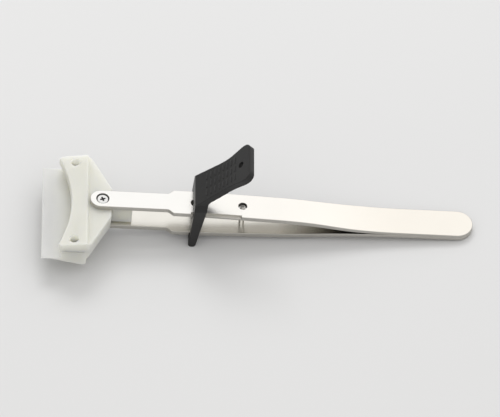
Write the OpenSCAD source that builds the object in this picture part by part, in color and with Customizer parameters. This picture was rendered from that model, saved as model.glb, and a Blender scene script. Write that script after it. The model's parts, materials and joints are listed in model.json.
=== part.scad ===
// Sprung hand tongs: two stainless limbs joined at the tail, two white jaws and a sliding lock.
// The tongs lie on a table on the foot of the lock and the tip of the tail, jaws to -X.
// Inside tongs() the frame is the tool's own: X from the front lip to the tail, Z = 0 half-way
// between the limbs, so that the lower limb and jaw are drawn as mirror images of the upper ones.

/* [Spring limbs] */
// Length of each limb, round end to round end
limb_l = 192.3; // [186:0.1:210]
// Width of each limb behind the shoulders
limb_w = 15; // [14:0.1:17]
// Thickness of a limb from the jaws to the bend
limb_t = 2.5; // [2:0.05:2.8]
// Thickness of a limb in the tail
tail_t = 1.8; // [1.5:0.05:2.2]
// Height over both limbs at the jaws
stack_h = 16.7; // [15.5:0.1:18]
// Width of the neck that carries the jaw
neck_w = 10.5; // [9:0.1:12]
// Length of the neck, from the round end to the shoulders
neck_l = 38.7; // [36:0.1:42]
// Length of the S-shaped shoulders
shoulder_l = 3.6; // [3:0.1:7]
// Width of each limb in the tail
tail_w = 16.2; // [15:0.1:18]
// Distance from the top of the steep stretch to where a limb starts to widen
widen_behind = 4.8; // [1:0.1:12]
// Length over which it widens
widen_l = 28; // [10:0.5:34]

/* [Limb bends] */
// Distance from a limb's front end to the corner where it starts to close in
bow_x = 56.5; // [54:0.5:60]
// Radius of that long, gentle bend
bow_r = 700; // [500:10:760]
// Distance from a limb's front end to the top of the steep stretch
knee_x = 105.2; // [102:0.1:110]
// How far the limb has closed in at that point
knee_drop = 2.15; // [1.6:0.05:2.6]
// Length of the steep stretch along the tongs
heel_run = 25.4; // [23:0.1:30]
// Half of the height over the limbs at that point
heel_half = 2.75; // [2.4:0.05:3.2]
// Distance from the foot of the steep stretch to where the limbs meet
join_run = 17.5; // [16:0.1:22]
// Radius of the tight bends
bend_r = 250; // [150:10:300]
// Distance from where the limbs meet to the line at which the upper limb flexes
flex_behind = 6; // [2:0.5:20]

/* [Jaws] */
// Width of the jaws across the tongs
jaw_w = 58.5; // [54:0.5:66]
// Length of the sloping front of the jaws, from the lower lip to the limbs
front_l = 22.5; // [21:0.1:26]
// Distance from the lower lip to the middle of the upper lip
lip_setback = 14.3; // [13:0.1:15]
// Radius of the hollow front edge of the upper lip
lip_r = 65; // [55:1:90]
// How far the lower jaw's riser stands behind the upper lip
riser_setback = 2; // [1:0.1:2.4]
// Slope of the front of the upper jaw, in degrees
upper_slope = 10; // [6:0.5:13]
// Height of the ridge in front of the upper limb, above the limb's seat
upper_ridge_h = 1.3; // [0.8:0.1:2]
// Depth of the lower lip's shelf below the parting
shelf_depth = 4.9; // [4.4:0.1:5.2]
// Thickness of the lower lip's edge
shelf_edge_t = 0.75; // [0.5:0.05:0.9]
// Length of the nearly flat underside behind the lower lip's edge
shelf_flat_l = 5; // [4:0.1:7]
// Slope of the underside of the lower jaw, in degrees
lower_slope = 13; // [10:0.5:14]
// Length of the limbs' seat behind the sloping front
seat_l = 11.9; // [10.9:0.1:14]
// Width of the straight rear edge of the jaws
jaw_rear_w = 17.8; // [15:0.1:20]
// Distance from the lower lip to the corners where the sides turn in
jaw_corner_x = 23.6; // [22.6:0.1:25.5]
// Radius of those corners
jaw_corner_r = 5; // [3:0.1:6]
// How far the lower jaw's slanted sides stand inside the upper jaw's
lower_inset = 1.2; // [0.5:0.1:1.5]
// Diameter of the two holes through the upper lip
lip_hole_d = 4.5; // [3:0.1:5.5]
// Distance from the ends of the jaws to the lip holes
lip_hole_inset = 4.25; // [3.5:0.05:7]
// Distance from the lower lip to the lip holes
lip_hole_x = 15.9; // [14.5:0.1:17]
// Depth of the blind holes that continue into the lower jaw
lip_hole_depth = 4; // [2:0.1:4.5]
// Width of the spacer tang behind the upper jaw
tang_w = 7.2; // [6:0.1:9]
// Length of the spacer tang
tang_l = 10.5; // [8:0.1:14]
// Gap left between the tang and the lower limb
tang_gap = 0.55; // [0.4:0.05:1]

/* [Jaw fixings] */
// Distance from the rear edge of the jaws to the jaw screws
screw_inset = 4.7; // [4.4:0.1:5.8]
// Diameter of the countersunk head
screw_head_d = 6.6; // [6:0.1:7]
// How far the head is sunk below the limb's face
head_sink = 0.5; // [0.2:0.05:0.6]
// Diameter of the screw thread
screw_d = 3.5; // [3:0.1:4]
// Length of thread inside the jaw
screw_grip = 4; // [3:0.1:4.4]
// Outer diameter of the threaded insert
insert_d = 5.2; // [4.8:0.1:6]
// Length of the threaded insert
insert_l = 4.6; // [4.4:0.05:5]
// Span of the cross recess
recess_span = 3.2; // [2.6:0.1:3.4]
// Width of a slot of the cross recess
recess_slot = 0.9; // [0.6:0.05:1.2]
// Depth of the cross recess
recess_depth = 1; // [0.7:0.05:1]

/* [Guide pin and lock holes] */
// Distance from a limb's front end to the guide pin
pin_x = 76.5; // [75.5:0.1:78.5]
// Diameter of the guide pin
pin_d = 2.8; // [2.2:0.1:3.2]
// Diameter of the holes in the upper limb
hole_d = 4.4; // [4.1:0.1:5]
// Depth of the pin's end below the upper limb's face
pin_recess = 0.3; // [0.1:0.05:0.8]
// Distance from a limb's front end to the hole under the lock
lock_hole_x = 52.6; // [52:0.1:54.5]
// Width of the step cut along the upper limb's near edge for the lock
step_w = 1.3; // [1.1:0.05:1.6]
// Depth of that step below the limb's face
step_depth = 1.3; // [1.1:0.05:1.5]
// How far the step reaches in front of the lock
step_lead = 0.6; // [0.5:0.1:2]

/* [Lock slide] */
// Distance from a limb's front end to the front of the lock when locked, at mid-height
lock_x = 51; // [50.4:0.1:51.4]
// Width of the lock across the tongs
lock_w = 23.5; // [22.5:0.1:26]
// Thickness of the bar under the lower limb
lock_bar_t = 3.5; // [3:0.1:5]
// Length of the foot along the tongs
foot_l = 3.6; // [3.55:0.05:4.5]
// Radius of the rounded foot
foot_r = 1.75; // [1.3:0.05:1.8]
// Height of the thicker foot
foot_h = 6.4; // [5:0.1:8]
// How far the foot stands in front of the legs
foot_step = 0.5; // [0.3:0.05:1.1]
// Lean of the rear of the legs, in degrees
leg_lean = 9.2; // [6:0.1:10]
// Height of the flag's root above the upper limb
flag_root_h = 9.2; // [8:0.1:11]
// Height of the slanted shoulders between the legs and the flag's root
root_shoulder_h = 2.7; // [1.5:0.1:3.5]
// Rounding of the edges of the legs
leg_edge_r = 0.5; // [0.2:0.1:1]
// Travel of the lock from locked to open
lock_travel = 18.5; // [10:0.5:18.5]

/* [Lock flag] */
// Length of the flag's upper face
flag_l = 36.9; // [34:0.1:40]
// Width of the flag's root
flag_root_w = 20.2; // [18:0.1:21]
// Width to which the flag narrows
waist_w = 18.1; // [16:0.1:19]
// Place where it starts to flare, as a share of its length
waist_share = 0.59; // [0.5:0.01:0.62]
// Radius of the hollow there
waist_r = 28; // [15:1:30]
// Distance from where it reaches its full width to its round corners
flare_run = 1.5; // [1.2:0.1:3]
// Radius of the bend there
flare_r = 9; // [4:1:10]
// Width of the flag's free end
flag_w = 22.4; // [20:0.1:23.4]
// Thickness of the flag
flag_t = 3.5; // [2.8:0.1:4]
// How far the flag's root stands behind the front of the legs at mid-height
flag_root_back = 0.9; // [0.3:0.1:1.2]
// Radius of the hollow between the legs and the flag
armpit_r = 6; // [2:0.5:7]
// Rounding of the flag's edges
flag_edge_r = 0.8; // [0.4:0.1:1.1]
// Slope of the flag above the tongs, in degrees
flag_angle = 46.3; // [40:0.1:52]
// Depth at which the two halves of the flag's hollow face would meet, below its ends
flag_hollow = 1; // [0.2:0.1:1.2]
// Radius of the hollow between them
flag_hollow_r = 120; // [60:10:150]
// Radius of the flag's corners
flag_corner_r = 4; // [2:0.1:5]
// Diameter of the lanyard hole
lanyard_d = 3.2; // [1.8:0.1:3.5]
// Distance from the lanyard hole to the flag's free edge
lanyard_inset = 6.4; // [4:0.1:7]

/* [Fits] */
// Gap between the closed jaws
parting_gap = 0.3; // [0.2:0.05:0.4]
// Gap between the lock's window and the limbs
window_gap = 0.4; // [0.3:0.05:0.5]
// Gap between a limb's round end and the ridge of the jaw
nose_gap = 0.9; // [0.3:0.05:1.2]
// Gap between the tang and the lower jaw, and at the end of the lock's travel
end_gap = 0.4; // [0.3:0.05:0.6]
// Gap in the upper limb at its flex line
flex_gap = 0.15; // [0.1:0.01:0.25]

/* [Hidden] */
$fn = 64;
arc_steps = 10;
spare = 1;
big = 400;

steel = [0.83, 0.82, 0.79];
brass = [0.76, 0.62, 0.33];
nylon = [0.93, 0.92, 0.87];
moulded_black = [0.17, 0.17, 0.17];

// Stations along a limb, from its front end
heel_x = knee_x + heel_run;
join_x = heel_x + join_run;

// Stations along the tongs
jaw_l = front_l + seat_l;
limb_x = front_l + nose_gap;
tail_x = limb_x + limb_l;
flex_x = limb_x + join_x + flex_behind;
screw_at = jaw_l - screw_inset;
pin_at = limb_x + pin_x;
lock_hole_at = limb_x + lock_hole_x;
lock_at = limb_x + lock_x;

// Heights above the middle plane
top_half = stack_h / 2;
seat_z = top_half - limb_t;
parting_z = parting_gap / 2;
tang_bottom_z = -(seat_z - tang_gap);
head_h = (screw_head_d - screw_d) / 2;

// A point moved by a length in a direction, and a corner rounded to a radius
function unit(v) = v / norm(v);
function cross_z(u, v) = u[0] * v[1] - u[1] * v[0];
function corner(a, b, c, r) =
    let (u = unit(a - b), v = unit(c - b), half = acos(u * v) / 2)
    let (centre = b + unit(u + v) * r / sin(half), turn = cross_z(-u, v) > 0 ? 1 : -1)
    let (start = atan2(-turn * -u[0], -turn * u[1]))
    [for (k = [0:arc_steps])
        let (angle = start + turn * (180 - 2 * half) * k / arc_steps)
        centre + r * [cos(angle), sin(angle)]];
function rounded(points, radii) =
    let (n = len(points))
    [for (i = [0:n - 1])
        each radii[i] == 0
            ? [points[i]]
            : corner(points[(i + n - 1) % n], points[i], points[(i + 1) % n], radii[i])];

// The outer face of the upper limb, from its front end to its tail
outer_line = rounded(
    [
        [limb_x, top_half],
        [limb_x + bow_x, top_half],
        [limb_x + knee_x, top_half - knee_drop],
        [limb_x + heel_x, heel_half],
        [limb_x + join_x, tail_t],
        [tail_x, tail_t]
    ],
    [0, bow_r, bend_r, bend_r, bend_r, 0]
);

// Thickness of the limb at a station: it thins from the knee to the tail
function thickness(x) =
    let (share = (x - limb_x - knee_x) / (join_x - knee_x))
    limb_t + (tail_t - limb_t) * max(0, min(1, share));
inner_line = [for (p = outer_line) [p[0], p[1] - thickness(p[0])]];

// Height of the outer face at a station
function outer_z(x) = lookup(x, outer_line);

// The lock's window, its leaning legs and the step that it slides along
window_half_h = outer_z(lock_at) + window_gap;
window_half_w = limb_w / 2 + window_gap;
foot_z = -(window_half_h + lock_bar_t);
flag_root = [lock_at + flag_root_back, outer_z(lock_at) + flag_root_h];
foot_top_z = foot_z + foot_h + foot_step;
leg_foot = [lock_at + flag_root_back * foot_top_z / flag_root[1], foot_top_z];
foot_back = [leg_foot[0] - foot_step + foot_l, foot_z];
lock_top_l = foot_back[0] - lock_at + (stack_h + lock_bar_t) * tan(leg_lean);
step_from = lock_at - step_lead;
step_to = lock_at + lock_top_l + lock_travel + end_gap;

// The tongs stand on the round foot and on the tip of the tail
foot_centre = foot_back + [-foot_r, foot_r];
tail_tip = [tail_x, -tail_t];
stand = tail_tip - foot_centre;
tilt = atan2(stand[1], stand[0]) + asin(foot_r / norm(stand));
lift = tail_x * sin(tilt) + tail_t * cos(tilt);
lip_x = -(shelf_depth + shelf_edge_t) * sin(tilt);
middle_x = (tail_x * cos(tilt) + tail_t * sin(tilt) + lip_x) / 2;

module tongs() {
    translate([-middle_x, 0, lift]) rotate([0, tilt, 0]) children();
}

// A side profile drawn in X and Z, given a width across the tongs
module across(width) {
    rotate([90, 0, 0]) linear_extrude(width, center = true) children();
}

// One side of a limb where it widens from one width to another in an S-shaped line
function eased(share) = share * share * (3 - 2 * share);
function widening(from, run, narrow, wide) = [for (k = [0:arc_steps])
    [from + run * k / arc_steps, (narrow + (wide - narrow) * eased(k / arc_steps)) / 2]];

// The limb's outline from above, as a block that is higher than the limb
module limb_outline() {
    front_round_x = limb_x + neck_w / 2;
    tail_round_x = tail_x - tail_w / 2;
    side_line = concat(
        [[front_round_x, neck_w / 2]],
        widening(limb_x + neck_l, shoulder_l, neck_w, limb_w),
        widening(limb_x + knee_x + widen_behind, widen_l, limb_w, tail_w),
        [[tail_round_x, tail_w / 2]]
    );
    union() {
        translate([front_round_x, 0, -spare]) cylinder(h = stack_h, d = neck_w);
        translate([0, 0, -spare]) linear_extrude(stack_h)
            polygon(concat(
                side_line,
                [for (k = [len(side_line) - 1:-1:0]) [side_line[k][0], -side_line[k][1]]]
            ));
        translate([tail_round_x, 0, -spare]) cylinder(h = stack_h, d = tail_w);
    }
}

module limb_blank() {
    intersection() {
        across(max(limb_w, tail_w) + spare)
            polygon(concat(
                outer_line,
                [for (k = [len(inner_line) - 1:-1:0]) inner_line[k]]
            ));
        limb_outline();
    }
}

// The countersunk hole, and the screw that fills it
module countersunk(depth) {
    translate([screw_at, 0, top_half - depth]) cylinder(h = depth, d = screw_d);
    translate([screw_at, 0, top_half - head_h])
        cylinder(h = head_h, d1 = screw_d, d2 = screw_head_d);
}

module upper_half_limb() {
    difference() {
        limb_blank();
        countersunk(limb_t + spare);
        translate([pin_at, 0, 0]) cylinder(h = stack_h, d = hole_d);
        translate([lock_hole_at, 0, 0]) cylinder(h = stack_h, d = hole_d);
        edge_step();
    }
}

// The cut that leaves a lower step along the near edge of the limb, parallel to its outer face
module edge_step() {
    intersection() {
        translate([step_from, step_w - limb_w / 2 - limb_w, 0])
            cube([step_to - step_from, limb_w, stack_h]);
        across(2 * limb_w)
            polygon(concat(
                [for (p = outer_line) p - [0, step_depth]],
                [[tail_x, stack_h], [limb_x, stack_h]]
            ));
    }
}

module upper_limb() {
    color(steel) tongs() intersection() {
        upper_half_limb();
        translate([0, -limb_w, 0]) cube([flex_x - flex_gap, 2 * limb_w, stack_h]);
    }
}

module upper_limb_tail() {
    color(steel) tongs() intersection() {
        upper_half_limb();
        translate([flex_x, -limb_w, 0]) cube([limb_l, 2 * limb_w, stack_h]);
    }
}

module lower_limb() {
    color(steel) tongs() mirror([0, 0, 1]) difference() {
        limb_blank();
        countersunk(limb_t + spare);
        translate([pin_at, 0, 0]) cylinder(h = stack_h, d = pin_d);
    }
}

// A jaw's outline, with its slanted sides moved forward by an inset
module jaw_outline(inset) {
    corner_x = jaw_corner_x - inset;
    side_slope = (jaw_w - jaw_rear_w) / 2 / (jaw_l - jaw_corner_x);
    rear_y = jaw_rear_w / 2 - inset * side_slope;
    polygon(rounded(
        [
            [0, -jaw_w / 2],
            [corner_x, -jaw_w / 2],
            [jaw_l, -rear_y],
            [jaw_l, rear_y],
            [corner_x, jaw_w / 2],
            [0, jaw_w / 2]
        ],
        [0, jaw_corner_r, 0, 0, jaw_corner_r, 0]
    ));
}

// That outline, hollowed at the front to a depth behind the lower lip
module jaw_plan(middle_depth, inset) {
    difference() {
        jaw_outline(inset);
        translate([middle_depth - lip_r, 0]) circle(r = lip_r, $fn = 180);
    }
}

module lip_holes(depth) {
    for (side = [-1, 1])
        translate([lip_hole_x, side * (jaw_w / 2 - lip_hole_inset), parting_z])
            cylinder(h = depth, d = lip_hole_d);
}

module insert_pocket() {
    translate([screw_at, 0, seat_z - insert_l]) cylinder(h = insert_l, d = insert_d);
}

module upper_jaw() {
    ridge_z = seat_z + upper_ridge_h;
    color(nylon) tongs() difference() {
        union() {
            intersection() {
                translate([0, 0, parting_z]) linear_extrude(stack_h) jaw_plan(lip_setback, 0);
                across(jaw_w + spare)
                    polygon([
                        [0, 0],
                        [0, ridge_z - front_l * tan(upper_slope)],
                        [front_l, ridge_z],
                        [front_l, seat_z],
                        [jaw_l, seat_z],
                        [jaw_l, 0]
                    ]);
            }
            translate([jaw_l - spare, -tang_w / 2, parting_z])
                cube([tang_l + spare, tang_w, seat_z - parting_z]);
            translate([jaw_l + end_gap, -tang_w / 2, tang_bottom_z])
                cube([tang_l - end_gap, tang_w, parting_z - tang_bottom_z]);
        }
        lip_holes(stack_h);
        insert_pocket();
    }
}

module lower_jaw() {
    flat_drop = shelf_edge_t + shelf_depth;
    keel_z = flat_drop + (front_l - shelf_flat_l) * tan(lower_slope);
    color(nylon) tongs() mirror([0, 0, 1]) difference() {
        union() {
            translate([0, 0, parting_z])
                linear_extrude(seat_z - parting_z)
                jaw_plan(lip_setback + riser_setback, lower_inset);
            intersection() {
                linear_extrude(stack_h) jaw_outline(lower_inset);
                across(jaw_w + spare)
                    polygon([
                        [0, shelf_depth],
                        [0, flat_drop],
                        [shelf_flat_l, flat_drop],
                        [front_l, keel_z],
                        [front_l, shelf_depth]
                    ]);
            }
        }
        lip_holes(lip_hole_depth);
        insert_pocket();
    }
}

module jaw_insert() {
    color(brass) translate([screw_at, 0, seat_z - insert_l]) difference() {
        cylinder(h = insert_l, d = insert_d);
        translate([0, 0, -spare]) cylinder(h = insert_l + 2 * spare, d = screw_d);
    }
}

module jaw_screw() {
    color(steel) difference() {
        countersunk(limb_t + screw_grip);
        translate([screw_at, 0, top_half - head_sink]) {
            cylinder(h = head_sink + spare, d = screw_head_d + spare);
            for (turn = [0, 90])
                rotate(turn)
                    cube([recess_span, recess_slot, 2 * recess_depth], center = true);
        }
    }
}

module upper_jaw_insert() { tongs() jaw_insert(); }

module lower_jaw_insert() { tongs() mirror([0, 0, 1]) jaw_insert(); }

module upper_jaw_screw() { tongs() jaw_screw(); }

module lower_jaw_screw() { tongs() mirror([0, 0, 1]) jaw_screw(); }

module guide_pin() {
    pin_bottom = -outer_z(pin_at);
    pin_top = outer_z(pin_at) - pin_recess;
    color(steel) tongs() translate([pin_at, 0, pin_bottom])
        cylinder(h = pin_top - pin_bottom, d = pin_d);
}

// The lock's side profile: foot, leg and flag
flag_dir = [cos(flag_angle), sin(flag_angle)];
flag_down = [sin(flag_angle), -cos(flag_angle)];
leg_back = foot_back + [0, foot_r];
lean_dir = [sin(leg_lean), cos(leg_lean)];
under_root = flag_root + flag_down * flag_t;
// Where the leaning back of the legs meets the underside of the flag
armpit = leg_back + lean_dir * cross_z(under_root - leg_back, flag_dir) / cross_z(lean_dir, flag_dir);

module lock_profile() {
    flag_tip = flag_root + flag_dir * flag_l;
    flag_middle = (flag_root + flag_tip) / 2 + unit(flag_down) * flag_hollow;
    polygon(rounded(
        [
            foot_back - [foot_l, 0],
            foot_back,
            armpit,
            flag_middle + flag_down * flag_t,
            flag_tip + flag_down * flag_t,
            flag_tip,
            flag_middle,
            flag_root,
            leg_foot,
            leg_foot - [foot_step, foot_step]
        ],
        [
            foot_r, foot_r, armpit_r, flag_hollow_r, flag_edge_r, flag_edge_r,
            flag_hollow_r, flag_edge_r, leg_edge_r, leg_edge_r
        ]
    ));
}

// The flag seen square on: narrow at the waist, flared towards round corners
module flag_plan() {
    side = [
        [-spare, flag_root_w / 2],
        [flag_l * waist_share, waist_w / 2],
        [flag_l - flag_corner_r - flare_run, flag_w / 2],
        [flag_l, flag_w / 2]
    ];
    radii = [0, waist_r, flare_r, flag_corner_r];
    polygon(rounded(
        concat(side, [for (k = [len(side) - 1:-1:0]) [side[k][0], -side[k][1]]]),
        concat(radii, [for (k = [len(radii) - 1:-1:0]) radii[k]])
    ));
}

// The space that the flag's outline keeps, with all of the lock below its slanted shoulders
module lock_outline() {
    translate([flag_root[0], 0, flag_root[1]]) rotate([0, -flag_angle, 0])
        translate([0, 0, -flag_t - lock_w]) linear_extrude(2 * lock_w) flag_plan();
    shoulder_z = flag_root[1] - root_shoulder_h;
    side = [
        [flag_root_w / 2, flag_root[1]],
        [lock_w / 2, shoulder_z],
        [lock_w / 2, foot_z - spare]
    ];
    rotate([90, 0, 90]) linear_extrude(big)
        polygon(concat(side, [for (k = [len(side) - 1:-1:0]) [-side[k][0], side[k][1]]]));
}

module lock_slide() {
    color(moulded_black) tongs() difference() {
        intersection() {
            across(lock_w) lock_profile();
            lock_outline();
        }
        difference() {
            translate([0, -window_half_w, -window_half_h])
                cube([big, 2 * window_half_w, 2 * window_half_h]);
            lock_lug();
        }
        translate([flag_root[0], 0, flag_root[1]]) rotate([0, -flag_angle, 0])
            translate([flag_l - lanyard_inset, 0, -flag_t - spare])
                cylinder(h = flag_t + 2 * spare, d = lanyard_d);
    }
}

// The lug that runs on the step of the upper limb
module lock_lug() {
    lug_y = limb_w / 2 - step_w + window_gap;
    translate([0, -lug_y - big, window_half_h - step_depth]) cube([big, big, big]);
}

lower_limb();
upper_limb();
upper_limb_tail();
lower_jaw();
upper_jaw();
lower_jaw_insert();
upper_jaw_insert();
lower_jaw_screw();
upper_jaw_screw();
guide_pin();
lock_slide();
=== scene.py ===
import json
import math

import bmesh
import bpy
from mathutils import Matrix, Vector


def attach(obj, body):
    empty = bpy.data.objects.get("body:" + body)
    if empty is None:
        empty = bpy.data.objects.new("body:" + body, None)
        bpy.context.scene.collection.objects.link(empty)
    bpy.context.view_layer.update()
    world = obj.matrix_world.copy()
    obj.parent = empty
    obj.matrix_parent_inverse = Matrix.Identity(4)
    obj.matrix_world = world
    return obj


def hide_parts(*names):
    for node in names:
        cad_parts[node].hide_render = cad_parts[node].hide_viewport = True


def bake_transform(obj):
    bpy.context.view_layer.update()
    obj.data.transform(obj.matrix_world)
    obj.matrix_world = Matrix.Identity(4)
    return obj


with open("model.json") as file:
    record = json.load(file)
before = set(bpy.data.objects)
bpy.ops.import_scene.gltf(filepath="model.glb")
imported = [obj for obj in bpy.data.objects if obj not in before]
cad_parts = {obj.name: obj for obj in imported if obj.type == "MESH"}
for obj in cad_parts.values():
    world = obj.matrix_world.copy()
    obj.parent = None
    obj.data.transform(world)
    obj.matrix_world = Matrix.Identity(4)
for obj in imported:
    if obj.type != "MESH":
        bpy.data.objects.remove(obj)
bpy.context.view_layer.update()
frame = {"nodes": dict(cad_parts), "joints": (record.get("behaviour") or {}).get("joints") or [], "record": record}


# ---------------------------------------------------------------- camera
# A long lens, almost without perspective, looks across the tongs from 50 degrees above. The jaws
# lie at the left of the picture and the tail at the right.
picture_span = 0.25
camera_height_deg = 50
camera_distance = 5.0
camera_target = Vector((-0.0037, 0, 0.01594))

camera_data = bpy.data.cameras.new("camera")
camera_data.sensor_width = 36
camera_data.lens = camera_data.sensor_width * camera_distance / picture_span
camera_data.clip_start = 0.1
camera_data.clip_end = 20
camera = bpy.data.objects.new("camera", camera_data)
bpy.context.scene.collection.objects.link(camera)
tip = math.radians(camera_height_deg)
camera.location = camera_target + camera_distance * Vector((0, -math.cos(tip), math.sin(tip)))
camera.rotation_euler = (math.pi / 2 - tip, 0, 0)
bpy.context.scene.camera = camera


# ---------------------------------------------------------------- how the tongs lie
# The tongs are drawn in millimetres in their own frame: X from the front lip to the tail, and
# Z = 0 half-way between the limbs. They lie tilted, on the foot of the lock and the tail's tip.
limb_x = 23.4
join_run = 148.1
join_x = limb_x + join_run
flex_behind = 6
flex_x = join_x + flex_behind
flex_gap = 0.15
tail_t = 1.8

mounts = {mount["name"]: mount for mount in frame["record"]["mounts"]}
joints = {joint["name"]: joint for joint in frame["joints"]}
face_up = Vector(mounts["tail_face"]["axis"])
tilt = Matrix.Rotation(math.atan2(face_up.x, face_up.z), 4, "Y")
flex_line = Vector(joints["limb_flex"]["pos_m"])
millimetre = 0.001
flex_in_tongs = Vector((flex_x - flex_gap / 2, 0, tail_t)) * millimetre
to_row = Matrix.Translation(flex_line - tilt @ flex_in_tongs) @ tilt @ Matrix.Scale(millimetre, 4)


# ---------------------------------------------------------------- spring limbs
# Two limbs of stainless spring strip, blanked with a narrow neck for the jaw and ground thinner
# towards the tail, where they are joined. Their faces are finely brushed lengthwise and their
# sheared edges are deburred. The upper one has a guide hole, a lock hole and a milled step.
limb_l = 192.3
limb_w = 15
limb_t = 2.5
half_stack = 8.35
neck_w = 10.5
neck_l = 38.7
shoulder_l = 3.6
tail_w = 16.2
widen_x = 110
widen_l = 28
tail_x = limb_x + limb_l
deburr_r = 0.35
deburr_steps = 5
rim_r = 0.12
circle_steps = 64
bow_run = 56.5
bow_r = 700
knee_run = 105.2
knee_x = limb_x + knee_run
knee_drop = 2.15
heel_run = 130.6
heel_z = 2.75
bend_r = 250

bend_line = [
    (limb_x, half_stack, 0),
    (limb_x + bow_run, half_stack, bow_r),
    (knee_x, half_stack - knee_drop, bend_r),
    (limb_x + heel_run, heel_z, bend_r),
    (join_x, tail_t, bend_r),
    (tail_x, tail_t, 0),
]


def rounded(points, radii, steps=10):
    """A line or outline through 2D points, with each corner rounded to its radius."""
    line = []
    for index, (corner, radius) in enumerate(zip(points, radii)):
        corner = Vector(corner)
        if radius == 0:
            line.append(tuple(corner))
            continue
        before = (Vector(points[index - 1]) - corner).normalized()
        after = (Vector(points[(index + 1) % len(points)]) - corner).normalized()
        half = before.angle(after) / 2
        centre = corner + (before + after).normalized() * radius / math.sin(half)
        start = corner + before * radius / math.tan(half) - centre
        turn = math.copysign(math.pi - 2 * half, before.y * after.x - before.x * after.y)
        for step in range(steps + 1):
            angle = turn * step / steps
            line.append((
                centre.x + start.x * math.cos(angle) - start.y * math.sin(angle),
                centre.y + start.x * math.sin(angle) + start.y * math.cos(angle),
            ))
    return line


outer_line = rounded([point[:2] for point in bend_line], [point[2] for point in bend_line], 14)


def outer_z(x):
    """Height of the upper limb's outer face at a station."""
    for (x0, z0), (x1, z1) in zip(outer_line, outer_line[1:]):
        if x <= x1:
            return z0 + (z1 - z0) * (x - x0) / (x1 - x0)
    return outer_line[-1][1]


def strip_t(x):
    """Thickness of a limb at a station: it thins from the knee to the tail."""
    share = min(1, max(0, (x - knee_x) / (join_x - knee_x)))
    return limb_t + (tail_t - limb_t) * share


def half_width(x):
    """Half the width of a limb at a station, with its round ends, shoulders and wider tail."""
    neck_r, tail_r = neck_w / 2, tail_w / 2
    if x < limb_x + neck_r:
        return math.sqrt(max(0, neck_r**2 - (limb_x + neck_r - x) ** 2))
    if x > tail_x - tail_r:
        return math.sqrt(max(0, tail_r**2 - (x - tail_x + tail_r) ** 2))
    width = neck_w
    shoulder = (neck_l, shoulder_l, limb_w - neck_w)
    widening = (widen_x, widen_l, tail_w - limb_w)
    for start, run, more in (shoulder, widening):
        share = min(1, max(0, (x - limb_x - start) / run))
        width += more * share * share * (3 - 2 * share)
    return width / 2


def limb_stations():
    """Stations along a limb: close together where it is rounded, shouldered, bent or flexed."""
    pitch, least_gap = 4, 0.02
    quarter = [math.pi / 2 * step / 16 for step in range(17)]
    front = [limb_x + neck_w / 2 * (1 - math.cos(angle)) for angle in quarter]
    back = [tail_x - tail_w / 2 * (1 - math.cos(angle)) for angle in quarter]
    shoulder = [limb_x + neck_l + shoulder_l * step / 12 for step in range(13)]
    flexing = [flex_x + step for step in range(-12, 10)]
    bends = [x for x, z in outer_line if front[-1] < x < back[-1]]
    plain = [limb_x + 2 * pitch + pitch * step for step in range(int(limb_l / pitch) - 3)]
    stations = []
    for x in sorted(front + back + shoulder + flexing + bends + plain):
        if not stations or x - stations[-1] > least_gap:
            stations.append(x)
    return stations


def new_object(name, mesh):
    made = bpy.data.objects.new(name, mesh)
    bpy.context.scene.collection.objects.link(made)
    return made


def solid(shape):
    """An object from a bmesh, with its faces turned outwards."""
    bmesh.ops.recalc_face_normals(shape, faces=shape.faces)
    mesh = bpy.data.meshes.new("solid")
    shape.to_mesh(mesh)
    shape.free()
    return new_object("solid", mesh)


def prism(outline, low, high, plane="XY"):
    """A closed solid: a 2D outline in a plane of the tongs' frame, pushed from low to high."""
    lift = {
        "XY": lambda a, b, c: (a, b, c),
        "XZ": lambda a, b, c: (a, c, b),
        "YZ": lambda a, b, c: (c, a, b),
    }[plane]
    shape = bmesh.new()
    floor_ring = [shape.verts.new(lift(a, b, low)) for a, b in outline]
    roof_ring = [shape.verts.new(lift(a, b, high)) for a, b in outline]
    shape.faces.new(floor_ring)
    shape.faces.new(roof_ring)
    for index in range(len(outline)):
        after = (index + 1) % len(outline)
        shape.faces.new(
            (floor_ring[index], floor_ring[after], roof_ring[after], roof_ring[index])
        )
    return solid(shape)


def circle(x, y, radius):
    """The points of a circle, in equal steps."""
    angles = [math.tau * step / circle_steps for step in range(circle_steps)]
    return [(x + radius * math.cos(angle), y + radius * math.sin(angle)) for angle in angles]


def lathe(outline, x):
    """A closed solid of revolution: an outline of radius and height, turned about an upright axis
    on the middle line. The outline starts and ends on the axis."""
    shape = bmesh.new()
    rings = []
    for radius, z in outline:
        around = circle(x, 0, radius) if radius else [(x, 0)]
        rings.append([shape.verts.new((*point, z)) for point in around])
    for below, above in zip(rings, rings[1:]):
        for step in range(circle_steps):
            after = (step + 1) % circle_steps
            ring = [below[step % len(below)], below[after % len(below)]]
            ring += [above[after % len(above)], above[step % len(above)]]
            shape.faces.new(dict.fromkeys(ring))
    return solid(shape)


def evaluated(made):
    """Puts an object's modifiers into its mesh."""
    graph = bpy.context.evaluated_depsgraph_get()
    mesh = bpy.data.meshes.new_from_object(made.evaluated_get(graph))
    made.modifiers.clear()
    made.data = mesh
    return made


def carve(body, tool, operation="DIFFERENCE"):
    """Cuts a solid with a tool, joins them or keeps what they share, and removes the tool."""
    cut = body.modifiers.new("cut", "BOOLEAN")
    cut.object = tool
    cut.operation = operation
    cut.solver = "EXACT"
    evaluated(body)
    bpy.data.objects.remove(tool)
    return body


def mirrored(made):
    """Turns a piece of the upper half into its twin on the lower half."""
    made.data.transform(Matrix.Scale(-1, 4, (0, 0, 1)))
    made.data.flip_normals()
    return made


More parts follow.
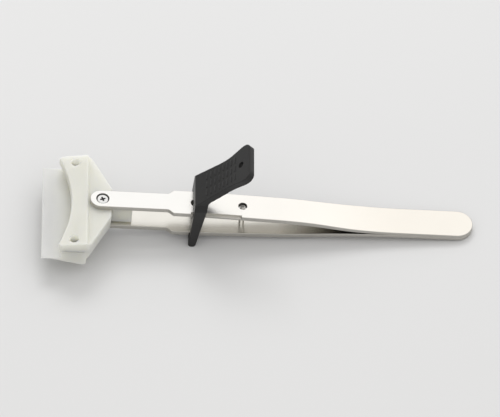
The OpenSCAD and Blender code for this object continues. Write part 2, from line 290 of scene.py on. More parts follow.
def strip_blank():
    """The bent strip of the upper limb: its outline in layers, drawn in towards both faces."""
    edge = [Vector((x, half_width(x))) for x in limb_stations()]
    last = len(edge) - 1
    outward = [Vector((-1, 0))]
    for index in range(1, last):
        run = (edge[index + 1] - edge[index - 1]).normalized()
        outward.append(Vector((-run.y, run.x)))
    outward.append(Vector((1, 0)))
    shape = bmesh.new()

    def layer(turn, on_top):
        side = []
        for point, away in zip(edge, outward):
            x, y = point - away * deburr_r * (1 - math.sin(turn))
            drop = deburr_r * (1 - math.cos(turn))
            side.append((x, y, outer_z(x) - (drop if on_top else strip_t(x) - drop)))
        ring = side + [(x, -y, z) for x, y, z in side[-2:0:-1]]
        return [shape.verts.new(point) for point in ring]

    turns = [math.pi / 2 * step / deburr_steps for step in range(deburr_steps + 1)]
    rings = [layer(turn, False) for turn in turns] + [layer(turn, True) for turn in turns[::-1]]
    size = len(rings[0])
    for ring, above in zip(rings, rings[1:]):
        for index in range(size):
            after = (index + 1) % size
            shape.faces.new((ring[index], ring[after], above[after], above[index]))
    for ring in (rings[0], rings[-1]):
        for index in range(last):
            across = (ring[-index - 1], ring[-index]) if index else (ring[-1], ring[0])
            shape.faces.new(dict.fromkeys((ring[index], ring[index + 1], *across)))
    return solid(shape)


def dress(made, *materials):
    """Gives an object its materials, in the order in which its faces count them."""
    made.data.materials.clear()
    for material in materials:
        made.data.materials.append(material)
    return made


def finish_piece(made, name, edge_r=0):
    """Rounds a piece's sharp edges, smooths its curved faces and seats it in the row's frame."""
    made.name = made.data.name = name
    if edge_r:
        rounding = made.modifiers.new("rounding", "BEVEL")
        rounding.width = edge_r
        rounding.segments = 2
        rounding.limit_method = "ANGLE"
        rounding.angle_limit = math.radians(38)
        rounding.miter_outer = "MITER_ARC"
        evaluated(made)
    for polygon in made.data.polygons:
        polygon.use_smooth = True
    made.data.set_sharp_from_angle(angle=math.radians(36))
    shading = made.modifiers.new("shading", "WEIGHTED_NORMAL")
    shading.keep_sharp = True
    evaluated(made)
    made.data.transform(to_row)
    made.data.update()
    return made


class Signal:
    """A number or vector inside a material; arithmetic on it adds Math nodes."""

    def __init__(self, finish, socket):
        self.finish = finish
        self.socket = socket

    def math(self, operation, first, second):
        return self.finish.node("ShaderNodeMath", {"operation": operation}, {0: first, 1: second})

    def __add__(self, other):
        return self.math("ADD", self, other)

    def __sub__(self, other):
        return self.math("SUBTRACT", self, other)

    def __rsub__(self, other):
        return self.math("SUBTRACT", other, self)

    def __mul__(self, other):
        return self.math("MULTIPLY", self, other)

    __radd__ = __add__
    __rmul__ = __mul__


class Finish:
    """A material under construction. Its constants are named as the shader's sockets are."""

    def __init__(self, name, **constants):
        self.material = bpy.data.materials.new(name)
        self.material.use_nodes = True
        self.tree = self.material.node_tree
        self.shader = self.tree.nodes["Principled BSDF"]
        for socket, value in constants.items():
            self.shader.inputs[socket.replace("_", " ")].default_value = value

    def node(self, kind, settings=None, sockets=None, output=0):
        """Adds a node: first its settings, then the values or links of its sockets."""
        made = self.tree.nodes.new(kind)
        for name, value in (settings or {}).items():
            if name == "stops":
                for stop, (place, level) in zip(made.color_ramp.elements, value):
                    stop.position = place
                    stop.color = (level, level, level, 1)
            else:
                setattr(made, name, value)
        for key, value in (sockets or {}).items():
            self.put(made.inputs[key], value)
        return Signal(self, made.outputs[output])

    def put(self, socket, value):
        if isinstance(value, Signal):
            self.tree.links.new(value.socket, socket)
        else:
            socket.default_value = value

    def place(self, scale):
        """Object coordinates, turned into the tongs' frame and scaled along each axis."""
        where = self.node("ShaderNodeTexCoord", output=3)
        turned = {"Rotation": (0, -tilt.to_euler().y, 0)}
        level = self.node("ShaderNodeMapping", {}, {"Vector": where, **turned})
        return self.node("ShaderNodeMapping", {}, {"Vector": level, "Scale": scale})

    def noise(self, scale, detail=2.0, roughness=0.5):
        """Noise from 0 to 1; the scale is in waves per metre along X, Y and Z."""
        sockets = {"Vector": self.place(scale), "Scale": 1, "Detail": detail}
        sockets["Roughness"] = roughness
        return self.node("ShaderNodeTexNoise", {}, sockets)

    def blend(self, share, *colours):
        """A colour between two others, which may vary themselves."""
        first, second = [it if isinstance(it, Signal) else (*it, 1) for it in colours]
        sockets = {0: share, 6: first, 7: second}
        return self.node("ShaderNodeMix", {"data_type": "RGBA"}, sockets, output=2)

    def steps(self, value, *stops):
        """A value bent by a ramp of two stops, each a place and a level."""
        return self.node("ShaderNodeValToRGB", {"stops": stops}, {0: value})

    def relief(self, *layers):
        """Bumps from height layers, each a height and its depth in metres."""
        normal = None
        for height, depth in layers:
            sockets = {"Height": height, "Distance": depth, "Strength": 1}
            if normal is not None:
                sockets["Normal"] = normal
            normal = self.node("ShaderNodeBump", {}, sockets)
        self.put(self.shader.inputs["Normal"], normal)

    def show(self, colour, roughness=None):
        self.put(self.shader.inputs["Base Color"], colour)
        if roughness is not None:
            self.put(self.shader.inputs["Roughness"], roughness)
        return self.material


def brushed_steel():
    """Outer faces: polished, with fine streaks along the strip, a slow waviness and faint smudges.
    They warm towards the tail."""
    finish = Finish("brushed_stainless", Metallic=1.0)
    streaks = finish.noise((30, 4600, 4600), 3, 0.6)
    waviness = finish.noise((40, 70, 70), 1)
    smudges = finish.steps(finish.noise((90, 150, 150), 4, 0.6), (0.5, 0), (0.75, 1))
    along = finish.node("ShaderNodeSeparateXYZ", {}, {0: finish.place((1, 1, 1))})
    warmth = finish.steps(along * 9 + 0.45, (0.0, 0), (1.0, 1))
    cool = finish.blend(streaks, (0.82, 0.812, 0.79), (0.865, 0.857, 0.84))
    warm = finish.blend(streaks, (0.80, 0.762, 0.70), (0.84, 0.805, 0.742))
    tone = finish.blend(warmth, cool, warm)
    finish.relief((streaks, 0.000004), (waviness, 0.00008))
    return finish.show(tone, 0.17 + streaks * 0.08 + smudges * 0.05)


def rolled_steel():
    """Inner faces: as they left the mill, with longer streaks; darkened with painted shade towards the tail, where
    the limbs close together.
    """
    finish = Finish("rolled_stainless", Metallic=1.0)
    streaks = finish.noise((18, 2400, 2400), 3, 0.6)
    cloud = finish.noise((60, 200, 200), 2)
    along = finish.node("ShaderNodeSeparateXYZ", {}, {0: finish.place((1, 1, 1))})
    # Painted shade: the inner faces turn dark towards the join, where the gap between the limbs narrows.
    gap_shade = finish.steps(along * 27 - 0.216, (0.0, 0), (1.0, 1))
    bright = finish.blend(cloud * 0.6 + streaks * 0.4, (0.69, 0.67, 0.625), (0.81, 0.79, 0.74))
    dark = finish.blend(cloud, (0.25, 0.24, 0.21), (0.32, 0.305, 0.27))
    finish.relief((streaks, 0.000006))
    return finish.show(finish.blend(gap_shade, bright, dark), 0.2 + streaks * 0.1)


def sheared_steel():
    """Sheared and rounded edges: duller than the faces, with marks across the thickness."""
    finish = Finish("sheared_stainless", Metallic=1.0)
    marks = finish.noise((4200, 4200, 500), 2, 0.6)
    tone = finish.blend(marks, (0.46, 0.445, 0.41), (0.62, 0.60, 0.56))
    finish.relief((marks, 0.00001))
    return finish.show(tone, 0.38 + marks * 0.15)


def milled_steel():
    """The step: milled, so that it scatters the light."""
    finish = Finish("milled_stainless", Metallic=1.0)
    marks = finish.noise((2600, 300, 300), 2, 0.6)
    tone = finish.blend(marks, (0.86, 0.84, 0.795), (0.94, 0.92, 0.875))
    finish.relief((marks, 0.000008))
    return finish.show(tone, 0.55 + marks * 0.15)


def shaded_drilled_steel():
    """Walls of holes and recesses: nearly black steel, painted shade standing in for the shade inside them, with
    rings from the drill.
    """
    finish = Finish("drilled_stainless_painted_shade", Metallic=1.0)
    rings = finish.noise((300, 300, 4000), 2, 0.6)
    tone = finish.blend(rings, (0.05, 0.048, 0.045), (0.12, 0.115, 0.11))
    finish.relief((rings, 0.00001))
    return finish.show(tone, 0.4 + rings * 0.2)


# The walls of holes and recesses get a dark steel: painted shade.
painted_shade_steel = shaded_drilled_steel()
milled = milled_steel()
strip_finishes = [brushed_steel(), sheared_steel(), rolled_steel(), painted_shade_steel, milled]
outer_face, cut_edge, inner_face, shaded_bore_wall, step_floor = range(len(strip_finishes))
flat_rise = 0.9
flared_rise = 0.95
drilled_rise = 0.6


def name_faces(made, holes):
    """Names each face of a strip: outer face, edge, inner face, wall of a hole with painted shade, or step. A hole
    is given by its station, its reach and the rise at which its rim counts as the face."""
    for polygon in dress(made, *strip_finishes).data.polygons:
        x, y, z = polygon.center
        rise = polygon.normal.z
        on_step = z < outer_z(x) - step_depth / 2
        # Faces in the wall of a hole get the dark steel: painted shade.
        if any(math.hypot(x - at, y) < reach and abs(rise) < most for at, reach, most in holes):
            polygon.material_index = shaded_bore_wall
        elif abs(rise) < flat_rise:
            polygon.material_index = cut_edge
        elif rise < 0:
            polygon.material_index = inner_face
        else:
            polygon.material_index = step_floor if on_step else outer_face
    return made


jaw_l = 34.4
screw_inset = 4.7
screw_x = jaw_l - screw_inset
screw_head_r = 3.3
screw_r = 1.75
seat_z = half_stack - limb_t
spare = 1


def screw_hole():
    """The countersunk hole of a limb, as the tool that cuts it."""
    outline = [
        (0, seat_z - spare),
        (screw_r, seat_z - spare),
        (screw_r, half_stack - (screw_head_r - screw_r)),
        (screw_head_r, half_stack),
        (screw_head_r, half_stack + spare),
        (0, half_stack + spare),
    ]
    return lathe(outline, screw_x)


pin_run = 76.5
pin_x = limb_x + pin_run
pin_r = 1.4
hole_r = 2.2
lock_hole_run = 52.6
lock_hole_x = limb_x + lock_hole_run
lock_run = 51
lock_x = limb_x + lock_run
step_w = 1.3
step_depth = 1.3
step_lead = 0.6
step_from = lock_x - step_lead
step_to = 99.4


def hole_cutter(x, radius):
    """A drill with a flare that deburrs the rim at a limb's outer face."""
    rim_z = outer_z(x) - rim_r
    flare = rim_r + spare
    outline = [(0, 0), (radius, 0), (radius, rim_z), (radius + flare, rim_z + flare)]
    return lathe([*outline, (0, rim_z + flare)], x)


def step_cutter():
    """What is milled off along the near edge of the upper limb, for a lug of the lock."""
    line = [(x, z - step_depth) for x, z in outer_line]
    above = [(tail_x, half_stack + spare), (limb_x, half_stack + spare)]
    inside, outside = step_w - limb_w / 2, -limb_w / 2 - spare
    bounds = [(step_from, inside), (step_to, inside), (step_to, outside), (step_from, outside)]
    cutter = prism(line + above, -limb_w, limb_w, "XZ")
    return carve(cutter, prism(bounds, 0, half_stack + 2 * spare), "INTERSECT")


upper_strip = carve(strip_blank(), screw_hole())
for hole_x in (pin_x, lock_hole_x):
    carve(upper_strip, hole_cutter(hole_x, hole_r))
carve(upper_strip, step_cutter())
countersink = (screw_x, screw_head_r + rim_r, flared_rise)
guide_hole = (pin_x, hole_r + rim_r, drilled_rise)
lock_hole = (lock_hole_x, hole_r + rim_r, drilled_rise)
name_faces(upper_strip, [countersink, guide_hole, lock_hole])
finish_piece(upper_strip, "upper_strip")
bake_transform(upper_strip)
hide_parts("upper_limb", "upper_limb_tail")

lower_strip = carve(strip_blank(), screw_hole())
carve(lower_strip, hole_cutter(pin_x, pin_r))
name_faces(lower_strip, [countersink, guide_hole])
finish_piece(mirrored(lower_strip), "lower_strip")
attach(lower_strip, "lower_half")
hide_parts("lower_limb")


# ---------------------------------------------------------------- jaws
# Two injection-moulded jaws of white nylon, about four times as wide as a limb. The upper one has
# a hollow front lip with two holes and a spacer tang; the lower one has a shelf under that lip.
jaw_w = 58.5
front_l = 22.5
lip_x = 14.3
lip_r = 65
lip_tip_r = 1.6
riser_setback = 2
riser_x = lip_x + riser_setback
upper_slope = math.tan(math.radians(10))
lower_slope = math.tan(math.radians(13))
upper_ridge_h = 1.3
ridge_z = seat_z + upper_ridge_h
shelf_z = -4.9
shelf_edge_t = 0.75
shelf_flat_l = 5
jaw_rear_w = 17.8
jaw_corner_x = 23.6
jaw_corner_r = 5
lower_inset = 1.2
parting_z = 0.15
lip_hole_r = 2.25
lip_hole_x = 15.9
lip_hole_y = 25
lip_hole_depth = 4
bore_skin = 0.15
bore_inset = 0.25
bore_rise = 0.7
tang_w = 7.2
tang_l = 10.5
tang_gap = 0.55
end_gap = 0.4
insert_r = 2.6
insert_l = 4.6


def jaw_outline(front_x, inset, tip_r):
    """A jaw from above: a front hollowed out behind front_x, or straight where that is 0."""
    side = jaw_w / 2
    corner_x = jaw_corner_x - inset
    rear_y = jaw_rear_w / 2 - inset * (side - jaw_rear_w / 2) / (jaw_l - jaw_corner_x)
    if front_x:
        sweep = math.asin(side / lip_r)
        turns = [sweep * (1 - 2 * step / 48) for step in range(49)]
        front = [
            (front_x - lip_r + lip_r * math.cos(turn), lip_r * math.sin(turn)) for turn in turns
        ]
    else:
        front = [(0, side), (0, -side)]
    points = front + [(corner_x, -side), (jaw_l, -rear_y), (jaw_l, rear_y), (corner_x, side)]
    hollow = [0] * (len(front) - 2)
    return rounded(points, [tip_r, *hollow, tip_r, jaw_corner_r, 0, 0, jaw_corner_r], 12)


def soften(made, grain, passes):
    """Rounds every edge of a moulding: its skin is remade in even small faces and relaxed."""
    skin = made.modifiers.new("skin", "REMESH")
    skin.mode = "VOXEL"
    skin.voxel_size = grain
    relax = made.modifiers.new("relax", "SMOOTH")
    relax.factor = 0.5
    relax.iterations = passes
    thin = made.modifiers.new("thin", "DECIMATE")
    thin.ratio = 0.3
    return evaluated(made)


def moulded_nylon(name, low, high):
    """White nylon: a satin skin with a faint grain, slightly warm and a little translucent."""
    finish = Finish(
        name,
        Subsurface_Weight=0.85,
        Subsurface_Scale=0.014,
        Subsurface_Radius=(1.0, 0.97, 0.80),
        Specular_IOR_Level=0.4,
    )
    cloud = finish.noise((60, 60, 60), 2)
    grain = finish.noise((2600, 2600, 2600), 3, 0.6)
    tone = finish.blend(cloud, low, high)
    finish.relief((grain, 0.00001), (cloud, 0.0001))
    return finish.show(tone, 0.42 + grain * 0.12)


nylon = moulded_nylon("moulded_nylon", (0.645, 0.642, 0.578), (0.685, 0.682, 0.622))
# A paler nylon for the lip holes: painted light against the shade inside them.
bore_nylon_painted_light = moulded_nylon("moulded_nylon_bore_painted_light", (0.90, 0.89, 0.79), (0.94, 0.93, 0.83))


def light_lip_bores(made):
    """Gives the walls and floors of a jaw's lip holes a paler nylon: painted light that lifts the shade inside
    them.
    """
    for polygon in dress(made, nylon, bore_nylon_painted_light).data.polygons:
        x, y, _ = polygon.center
        away = math.hypot(x - lip_hole_x, abs(y) - lip_hole_y)
        wall = away < lip_hole_r + bore_skin and abs(polygon.normal.z) < bore_rise
        polygon.material_index = 1 if wall or away < lip_hole_r - bore_inset else 0
    return made


def bore_jaw(made, lip_holes, insert_hole):
    """Bores the two lip holes of a jaw and the hole for its insert, each from low to high."""
    for side in (-1, 1):
        carve(made, prism(circle(lip_hole_x, side * lip_hole_y, lip_hole_r), *lip_holes))
    carve(made, prism(circle(screw_x, 0, insert_r), *insert_hole))


upper_jaw_block = prism(jaw_outline(lip_x, 0, lip_tip_r), parting_z, half_stack + spare)
front_profile = [
    (-spare, 0),
    (-spare, ridge_z - (front_l + spare) * upper_slope),
    (front_l, ridge_z),
    (front_l, seat_z),
    (jaw_l + spare, seat_z),
    (jaw_l + spare, 0),
]
carve(upper_jaw_block, prism(front_profile, -jaw_w, jaw_w, "XZ"), "INTERSECT")
tang_profile = [
    (jaw_l - spare, parting_z),
    (jaw_l + end_gap, parting_z),
    (jaw_l + end_gap, tang_gap - seat_z),
    (jaw_l + tang_l, tang_gap - seat_z),
    (jaw_l + tang_l, seat_z),
    (jaw_l - spare, seat_z),
]
carve(upper_jaw_block, prism(tang_profile, -tang_w / 2, tang_w / 2, "XZ"), "UNION")
bore_jaw(upper_jaw_block, (0, half_stack + spare), (seat_z - insert_l, seat_z + spare))
finish_piece(light_lip_bores(soften(upper_jaw_block, grain=0.3, passes=8)), "upper_jaw_moulding")
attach(upper_jaw_block, "upper_half")
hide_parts("upper_jaw")

lower_jaw_block = prism(jaw_outline(riser_x, lower_inset, 0), -seat_z, -parting_z)
keel_z = shelf_z - shelf_edge_t - (front_l - shelf_flat_l) * lower_slope
keel_profile = [
    (0, shelf_z),
    (0, shelf_z - shelf_edge_t),
    (shelf_flat_l, shelf_z - shelf_edge_t),
    (front_l, keel_z),
    (front_l, shelf_z),
]
keel = prism(jaw_outline(0, lower_inset, 0), -half_stack * 2, 0)
carve(keel, prism(keel_profile, -jaw_w, jaw_w, "XZ"), "INTERSECT")
carve(lower_jaw_block, keel, "UNION")
bore_jaw(lower_jaw_block, (-parting_z - lip_hole_depth, 0), (-seat_z - spare, insert_l - seat_z))
finish_piece(light_lip_bores(soften(lower_jaw_block, grain=0.3, passes=4)), "lower_jaw_moulding")
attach(lower_jaw_block, "lower_half")
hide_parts("lower_jaw")


# ---------------------------------------------------------------- inserts, screws and pin
# A turned brass insert is pressed into each jaw, and a countersunk screw with a cross recess goes
# through the limb into it. The guide pin is ground steel, pressed into the lower limb.
head_sink = 0.5
head_gap = 0.06
head_bevel = 0.15
recess_span = 3.2
recess_slot = 0.9
recess_depth = 1.0
recess_foot = 0.55
recess_turns_deg = (20, 110)
screw_grip = 4
screw_point = 0.4
screw_taper = 0.3
thread_gap = 0.01
screw_edge_r = 0.05
pin_recess = 0.3
pin_chamfer = 0.6
chamfer_rise = 0.3


def turned_brass():
    finish = Finish("turned_brass", Metallic=1.0)
    rings = finish.noise((900, 900, 6000), 2)
    tone = finish.blend(rings, (0.60, 0.44, 0.20), (0.74, 0.58, 0.30))
    finish.relief((rings, 0.00001))
    return finish.show(tone, 0.3 + rings * 0.15)


def turned_steel():
    finish = Finish("turned_steel", Metallic=1.0)
    rings = finish.noise((3000, 3000, 3000), 2)
    tone = finish.blend(rings, (0.68, 0.68, 0.67), (0.82, 0.82, 0.81))
    finish.relief((rings, 0.000005))
    return finish.show(tone, 0.22 + rings * 0.12)


def ground_pin():
    """The shaft of the pin: ground smooth, with faint marks round it."""
    finish = Finish("ground_pin", Metallic=1.0)
    marks = finish.noise((500, 500, 5000), 2)
    shaft = finish.blend(marks, (0.90, 0.89, 0.86), (0.97, 0.96, 0.93))
    finish.relief((marks, 0.000001))
    return finish.show(shaft, 0.16 + marks * 0.1)


def pin_end_painted_shade():
    """The end of the pin, down in the guide hole: dark steel as painted shade."""
    finish = Finish("pin_end_painted_shade", Metallic=1.0)
    rings = finish.noise((3000, 3000, 3000), 2)
    end = finish.blend(rings, (0.13, 0.128, 0.12), (0.24, 0.235, 0.22))
    finish.relief((rings, 0.00001))
    return finish.show(end, 0.42 + rings * 0.1)


bright_steel = turned_steel()
brass = turned_brass()
for insert in ("lower_jaw_insert", "upper_jaw_insert"):
    dress(frame["nodes"][insert], brass)


def jaw_screw():
    """A countersunk screw of the upper jaw, its head sunk a little below the limb's face."""
    top = half_stack - head_sink
    head_r = screw_head_r - head_sink - head_gap
    thread_r = screw_r - thread_gap
    foot_z = seat_z - screw_grip
    outline = [
        (0, foot_z),
        (screw_r - screw_taper, foot_z),
        (thread_r, foot_z + screw_point),
        (thread_r, top - (head_r - screw_r)),
        (head_r, top - head_bevel),
        (head_r - head_bevel, top),
        (0, top),
    ]
    screw = lathe(outline, screw_x)
    half, slot = recess_span / 2, recess_slot / 2
    foot = half * recess_foot
    blade = [(-half, slot), (-foot, -recess_depth), (foot, -recess_depth), (half, slot)]
    for turn in recess_turns_deg:
        tool = prism(blade, -slot, slot, "XZ")
        turned = Matrix.Rotation(math.radians(turn), 4, "Z")
        tool.data.transform(Matrix.Translation((screw_x, 0, top)) @ turned)
        carve(screw, tool)
    # Faces down in the cross recess get the dark steel: painted shade.
    for polygon in dress(screw, bright_steel, painted_shade_steel).data.polygons:
        away = math.hypot(polygon.center.x - screw_x, polygon.center.y)
        sunk = top - 2 * recess_depth < polygon.center.z < top - screw_edge_r
        polygon.material_index = 1 if sunk and away < half else 0
    return screw


for half_name in ("upper", "lower"):
    screw = jaw_screw()
    if half_name == "lower":
        mirrored(screw)
    finish_piece(screw, half_name + "_countersunk_screw", edge_r=screw_edge_r)
    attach(screw, half_name + "_half")
    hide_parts(half_name + "_jaw_screw")

pin_low, pin_high = -outer_z(pin_x), outer_z(pin_x) - pin_recess
chamfer_z = pin_high - pin_chamfer
pin_outline = [(0, pin_low), (pin_r, pin_low), (pin_r, chamfer_z), (pin_r - pin_chamfer, pin_high)]
pin = dress(lathe([*pin_outline, (0, pin_high)], pin_x), ground_pin(), milled, pin_end_painted_shade())
# The pin's flat end gets the dark steel as painted shade; its chamfer gets the milled steel.
for polygon in pin.data.polygons:
    rise = polygon.normal.z
    polygon.material_index = 2 if rise > flat_rise else 1 if rise > chamfer_rise else 0
finish_piece(pin, "guide_pin_turned")
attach(pin, "lower_half")
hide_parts("guide_pin")


# ---------------------------------------------------------------- lock slide
# One moulding of black nylon: a window that runs on both limbs, two legs that lean back, a round
# foot to stand on, and a waisted flag for the thumb. Low bars on the flag give it grip.
lock_w = 23.5
lock_bar_t = 3.5
foot_l = 3.6
foot_r = 1.75
foot_h = 6.4
foot_step = 0.5
leg_lean = math.radians(9.2)
leg_edge_r = 0.5
window_gap = 0.4
flag_root_h = 9.2
flag_root_back = 0.9
root_shoulder_h = 2.7
flag_angle = math.radians(46.3)
flag_l = 36.9
flag_root_w = 20.2
flag_waist_w = 18.1
flag_waist_x = 21.77
flag_waist_r = 28
flag_w = 22.4
flag_flare_x = 31.4
flag_flare_r = 9
flag_t = 3.5
flag_corner_r = 4
flag_edge_r = 0.8
flag_hollow = 1
flag_hollow_r = 120
armpit_r = 6
lanyard_r = 1.6
lanyard_inset = 6.4

window_half_h = outer_z(lock_x) + window_gap
window_half_w = limb_w / 2 + window_gap
lug_y = limb_w / 2 - step_w + window_gap
foot_z = -(window_half_h + lock_bar_t)
foot_top_z = foot_z + foot_h + foot_step
flag_root = Vector((lock_x + flag_root_back, outer_z(lock_x) + flag_root_h))
flag_along = Vector((math.cos(flag_angle), math.sin(flag_angle)))
flag_under = Vector((math.sin(flag_angle), -math.cos(flag_angle))) * flag_t
flag_tip = flag_root + flag_along * flag_l
flag_middle = (flag_root + flag_tip) / 2 + flag_under * flag_hollow / flag_t
leg_foot = Vector((lock_x + flag_root_back * foot_top_z / flag_root.y, foot_top_z))
foot_back = Vector((leg_foot.x - foot_step + foot_l, foot_z))
leg_back = foot_back + Vector((0, foot_r))
lean = Vector((math.sin(leg_lean), math.cos(leg_lean)))


def cross(a, b):
    return a.x * b.y - a.y * b.x


under_root = flag_root + flag_under
reach = cross(under_root - leg_back, flag_along) / cross(lean, flag_along)
lock_side = rounded(
    [
        foot_back - Vector((foot_l, 0)),
        foot_back,
        leg_back + lean * reach,
        flag_middle + flag_under,
        flag_tip + flag_under,
        flag_tip,
        flag_middle,
        flag_root,
        leg_foot,
        leg_foot - Vector((foot_step, foot_step)),
    ],
    [foot_r, foot_r, armpit_r, flag_hollow_r, flag_edge_r, flag_edge_r]
    + [flag_hollow_r, flag_edge_r, leg_edge_r, leg_edge_r],
)
to_flag = Matrix.Translation((flag_root.x, 0, flag_root.y)) @ Matrix.Rotation(-flag_angle, 4, "Y")


def both_sides(points):
    """An outline from its points on one side of the middle line."""
    return points + [(-a, b) for a, b in reversed(points)]


def moulded_black():
    """Black nylon: a fine spark-eroded texture that scatters the light; its tone varies at random and is darker in
    its pits as painted shade.
    """
    finish = Finish("moulded_black", Specular_IOR_Level=0.42)
    pits = finish.noise((1500, 1500, 1500), 3, 0.65)
    cloud = finish.noise((120, 120, 120), 2)
    # The tone mixes random variation with painted shade in the pits.
    tone = finish.blend(pits * 0.6 + cloud * 0.4, (0.007, 0.0069, 0.0068), (0.016, 0.0157, 0.0155))
    finish.relief((pits, 0.00003), (cloud, 0.00006))
    return finish.show(tone, 0.33 + pits * 0.16)


black_nylon = moulded_black()
lock = prism(lock_side, -lock_w / 2, lock_w / 2, "XZ")
flag_side = [
    (flag_root_w / 2, -spare),
    (flag_waist_w / 2, flag_waist_x),
    (flag_w / 2, flag_flare_x),
    (flag_w / 2, flag_l),
]
flag_radii = [0, flag_waist_r, flag_flare_r, flag_corner_r]
flag_outline = rounded(both_sides(flag_side), flag_radii + flag_radii[::-1])
flag_space = prism([(x, y) for y, x in flag_outline], -flag_t - lock_w, lock_w)
flag_space.data.transform(to_flag)
leg_side = [
    (flag_root_w / 2, flag_root.y),
    (lock_w / 2, flag_root.y - root_shoulder_h),
    (lock_w / 2, foot_z - spare),
]
carve(flag_space, prism(both_sides(leg_side), 0, tail_x, "YZ"), "UNION")
carve(lock, flag_space, "INTERSECT")
window = [
    (-window_half_w, -window_half_h),
    (window_half_w, -window_half_h),
    (window_half_w, window_half_h),
    (-lug_y, window_half_h),
    (-lug_y, window_half_h - step_depth),
    (-window_half_w, window_half_h - step_depth),
]
carve(lock, prism(window, 0, tail_x, "YZ"))
lanyard = prism(circle(flag_l - lanyard_inset, 0, lanyard_r), -flag_t - spare, spare)
lanyard.data.transform(to_flag)
carve(lock, lanyard)
finish_piece(dress(soften(lock, grain=0.2, passes=2), black_nylon), "lock_moulding")
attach(lock, "lock")
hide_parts("lock_slide")


# ---------------------------------------------------------------- grip bars on the flag
# Low half-round bars moulded on the thumb face of the flag in three rows, all in one with it.
bar_columns = 8
bar_rows = 3
bar_field_l = 18.6
bar_field_w = 10.6
bar_field_x = 16.8
bar_l = 4.0
bar_r = 0.5
bar_sink = 0.15


def node_maker(tree):
    """What adds a node to a tree: first its settings, then the values or links of its sockets."""

    def node(kind, settings=None, links=None):
        made = tree.nodes.new(kind)
        for name, value in (settings or {}).items():
            setattr(made, name, value)
        for key, value in (links or {}).items():
            if isinstance(value, bpy.types.NodeSocket):
                tree.links.new(value, made.inputs[key])
            else:
                made.inputs[key].default_value = value
        return made

    return node


def grip_bars(material):
    """A tree that lays bars with tapered ends in rows, each bar lying across X."""
    tree = bpy.data.node_groups.new("grip_bars", "GeometryNodeTree")
    sizes = {
        "Columns": "NodeSocketInt",
        "Rows": "NodeSocketInt",
        "Field length": "NodeSocketFloat",
        "Field width": "NodeSocketFloat",
        "Length": "NodeSocketFloat",
        "Radius": "NodeSocketFloat",
    }
    sockets = {
        name: tree.interface.new_socket(name, in_out="INPUT", socket_type=kind)
        for name, kind in sizes.items()
    }
    tree.interface.new_socket("Geometry", in_out="OUTPUT", socket_type="NodeSocketGeometry")
    node = node_maker(tree)
    given = node("NodeGroupInput").outputs
    half = node("ShaderNodeMath", {"operation": "MULTIPLY"}, {0: given["Length"], 1: 0.5})
    start = node("ShaderNodeCombineXYZ", links={"Y": half.outputs[0]})
    end = node("ShaderNodeVectorMath", {"operation": "SCALE"}, {0: start.outputs[0], "Scale": -1})
    line = node(
        "GeometryNodeCurvePrimitiveLine", links={"Start": start.outputs[0], "End": end.outputs[0]}
    )
    spine = node("GeometryNodeResampleCurve", links={"Curve": line.outputs[0], "Count": 25})
    along = node("GeometryNodeSplineParameter").outputs["Factor"]
    centred = node("ShaderNodeMath", {"operation": "MULTIPLY_ADD"}, {0: along, 1: 2, 2: -1})
    even = node("ShaderNodeMath", {"operation": "ABSOLUTE"}, {0: centred.outputs[0]})
    steep = node("ShaderNodeMath", {"operation": "POWER"}, {0: even.outputs[0], 1: 9})
    left = node("ShaderNodeMath", {"operation": "SUBTRACT"}, {0: 1.0, 1: steep.outputs[0]})
    taper = node("ShaderNodeMath", {"operation": "SQRT"}, {0: left.outputs[0]})
    ring = node(
        "GeometryNodeCurvePrimitiveCircle", links={"Resolution": 16, "Radius": given["Radius"]}
    )
    bar = node(
        "GeometryNodeCurveToMesh",
        links={
            "Curve": spine.outputs[0],
            "Profile Curve": ring.outputs[0],
            "Scale": taper.outputs[0],
            "Fill Caps": True,
        },
    )
    field = node(
        "GeometryNodeMeshGrid",
        links={
            "Size X": given["Field length"],
            "Size Y": given["Field width"],
            "Vertices X": given["Columns"],
            "Vertices Y": given["Rows"],
        },
    )
    bars = node(
        "GeometryNodeInstanceOnPoints",
        links={"Points": field.outputs[0], "Instance": bar.outputs[0]},
    )
    plain = node("GeometryNodeRealizeInstances", links={0: bars.outputs[0]})
    smooth = node("GeometryNodeSetShadeSmooth", links={0: plain.outputs[0]})
    finished = node(
        "GeometryNodeSetMaterial", links={0: smooth.outputs[0], "Material": material}
    )
    node("NodeGroupOutput", links={0: finished.outputs[0]})
    return tree, {name: socket.identifier for name, socket in sockets.items()}


def flag_dip(along):
    """Depth of the flag's hollow face below its ends, at a distance from its root."""
    half = flag_l / 2
    slope = math.atan(flag_hollow / half)
    away = abs(along - half)
    if away > flag_hollow_r * math.sin(slope):
        return flag_hollow * (1 - away / half)
    apex = flag_hollow - flag_hollow_r * (1 / math.cos(slope) - 1)
    return apex - flag_hollow_r + math.sqrt(flag_hollow_r**2 - away**2)


bars = new_object("grip_bars", bpy.data.meshes.new("grip_bars"))
bar_tree, bar_inputs = grip_bars(black_nylon)
array = bars.modifiers.new("grip_bars", "NODES")
array.node_group = bar_tree
bar_sizes = {
    "Columns": bar_columns,
    "Rows": bar_rows,
    "Field length": bar_field_l,
    "Field width": bar_field_w,
    "Length": bar_l,
    "Radius": bar_r,
}
for name, value in bar_sizes.items():
    array[bar_inputs[name]] = value
evaluated(bars)
for vertex in bars.data.vertices:
    vertex.co.z -= flag_dip(bar_field_x + vertex.co.x)
bars.data.transform(to_row @ to_flag @ Matrix.Translation((bar_field_x, 0, -bar_sink)))
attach(bars, "lock")
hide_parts("lock_slide")


# ---------------------------------------------------------------- studio
# A pale floor under a soft sky that is brighter overhead, behind the tongs and on the right, with
# one large soft lamp behind them, so that their shadows fall towards the camera.
def studio_floor():
    finish = Finish("studio_floor", Roughness=0.9, Specular_IOR_Level=0.1)
    tone = finish.blend(finish.noise((3, 3, 3), 1), (0.665, 0.665, 0.668), (0.69, 0.69, 0.69))
    return finish.show(tone)


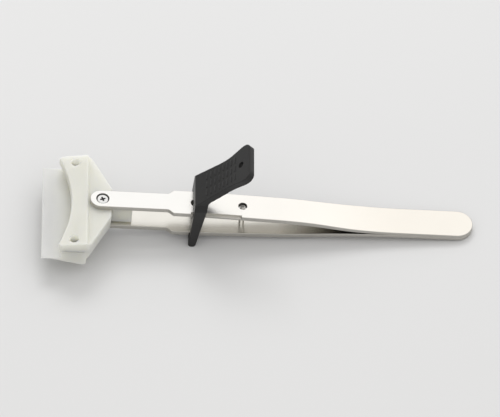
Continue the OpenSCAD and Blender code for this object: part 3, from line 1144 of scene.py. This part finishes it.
floor_half = 4.0
floor_mesh = bpy.data.meshes.new("studio_floor")
floor_mesh.from_pydata(
    [(x * floor_half, y * floor_half, 0) for x, y in ((-1, -1), (1, -1), (1, 1), (-1, 1))],
    [],
    [(0, 1, 2, 3)],
)
floor_mesh.materials.append(studio_floor())
floor = new_object("studio_floor", floor_mesh)

world = bpy.data.worlds.new("studio_sky")
bpy.context.scene.world = world
world.use_nodes = True
sky = world.node_tree
sky.nodes.clear()
sky_node = node_maker(sky)
looking = sky_node("ShaderNodeTexCoord").outputs["Generated"]
heading = sky_node("ShaderNodeSeparateXYZ", links={0: looking}).outputs
strength = 1.0
for axis, start, end, weak, strong in (
    ("Z", 0.0, 0.75, 0.42, 1.0),
    ("Y", -0.6, 0.7, 0.96, 1.12),
    ("X", -0.8, 0.85, 0.8, 1.25),
):
    change = sky_node(
        "ShaderNodeMapRange",
        {"interpolation_type": "SMOOTHSTEP"},
        {"Value": heading[axis], "From Min": start, "From Max": end}
        | {"To Min": weak, "To Max": strong},
    )
    product = sky_node(
        "ShaderNodeMath", {"operation": "MULTIPLY"}, {0: strength, 1: change.outputs[0]}
    )
    strength = product.outputs[0]
seen = sky_node("ShaderNodeLightPath").outputs["Is Camera Ray"]
soft = sky_node(
    "ShaderNodeBackground", links={"Color": (1, 0.995, 0.985, 1), "Strength": strength}
)
plain = sky_node("ShaderNodeBackground", links={"Color": (1, 1, 1, 1), "Strength": 0.82})
either = sky_node("ShaderNodeMixShader", links={0: seen, 1: soft.outputs[0], 2: plain.outputs[0]})
sky_node("ShaderNodeOutputWorld", links={"Surface": either.outputs[0]})

lamp_data = bpy.data.lights.new("soft_lamp", "AREA")
lamp_data.shape = "RECTANGLE"
lamp_data.size = 0.7
lamp_data.size_y = 0.5
lamp_data.energy = 4.8
lamp = bpy.data.objects.new("soft_lamp", lamp_data)
bpy.context.scene.collection.objects.link(lamp)
lamp.location = (-0.1, 0.8, 1.0)
lamp.rotation_euler = (-lamp.location).to_track_quat("-Z", "Y").to_euler()
lamp.visible_camera = False
lamp.visible_glossy = False

view_settings = bpy.context.scene.view_settings
view_settings.view_transform = "Standard"
